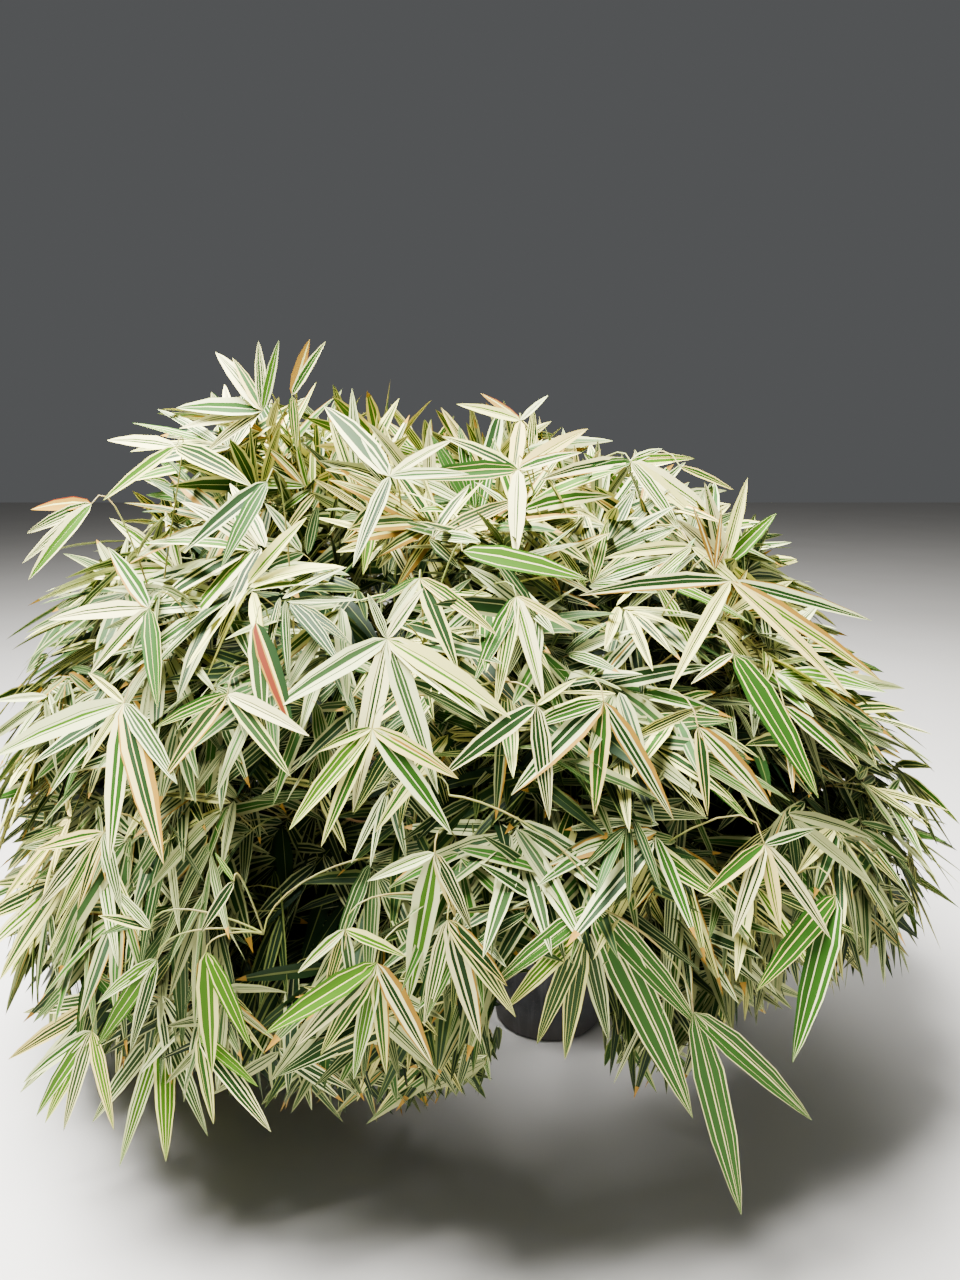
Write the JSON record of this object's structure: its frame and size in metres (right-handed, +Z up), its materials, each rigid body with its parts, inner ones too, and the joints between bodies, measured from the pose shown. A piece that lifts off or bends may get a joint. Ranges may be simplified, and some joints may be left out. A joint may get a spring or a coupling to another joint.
{
  "type": "potted variegated bamboo clump",
  "caption": "A wide arching clump of variegated bamboo with long cream and green striped leaves, growing in a round black plastic nursery pot.",
  "frame": {"origin": "the centre of the pot's flat underside, on the surface that the pot stands on", "axes": "+Z up; -Y is the front, the side that the picture shows; +X is to the right seen from the front, so the clump leans and spreads furthest towards -X"},
  "size_m": [2.3221, 1.9237, 1.6665],
  "materials": {
    "pot_plastic": "faded charcoal black nursery plastic, dusty and mud-splashed near the base",
    "potting_mix": "dark bark-based potting mix with dry leaf litter",
    "cane": "smooth olive-green canes with paler joints and dry tan sheaths",
    "twig_wood": "thin yellow-olive side branches",
    "striped_leaf": "satin leaves striped lengthwise in cream, pale green and mid green"
  },
  "bodies": {
    "root": {"pot": "pot_plastic", "soil": "potting_mix", "culm_top_1": "cane", "culm_top_2": "cane", "culm_top_3": "cane", "culm_upper_1": "cane", "culm_upper_2": "cane", "culm_upper_3": "cane", "culm_upper_4": "cane", "culm_upper_5": "cane", "culm_upper_6": "cane", "culm_upper_7": "cane", "culm_middle_1": "cane", "culm_middle_2": "cane", "culm_middle_3": "cane", "culm_middle_4": "cane", "culm_middle_5": "cane", "culm_middle_6": "cane", "culm_middle_7": "cane", "culm_middle_8": "cane", "bough_low_1": "twig_wood", "bough_low_2": "twig_wood", "bough_low_3": "twig_wood", "bough_low_4": "twig_wood", "bough_low_5": "twig_wood", "bough_low_6": "twig_wood", "bough_low_7": "twig_wood", "bough_low_8": "twig_wood", "foliage_top_1": "striped_leaf", "foliage_top_2": "striped_leaf", "foliage_top_3": "striped_leaf", "foliage_upper_1": "striped_leaf", "foliage_upper_2": "striped_leaf", "foliage_upper_3": "striped_leaf", "foliage_upper_4": "striped_leaf", "foliage_upper_5": "striped_leaf", "foliage_upper_6": "striped_leaf", "foliage_upper_7": "striped_leaf", "foliage_middle_1": "striped_leaf", "foliage_middle_2": "striped_leaf", "foliage_middle_3": "striped_leaf", "foliage_middle_4": "striped_leaf", "foliage_middle_5": "striped_leaf", "foliage_middle_6": "striped_leaf", "foliage_middle_7": "striped_leaf", "foliage_middle_8": "striped_leaf", "foliage_low_1": "striped_leaf", "foliage_low_2": "striped_leaf", "foliage_low_3": "striped_leaf", "foliage_low_4": "striped_leaf", "foliage_low_5": "striped_leaf", "foliage_low_6": "striped_leaf", "foliage_low_7": "striped_leaf", "foliage_low_8": "striped_leaf"}
  },
  "joints": []
}
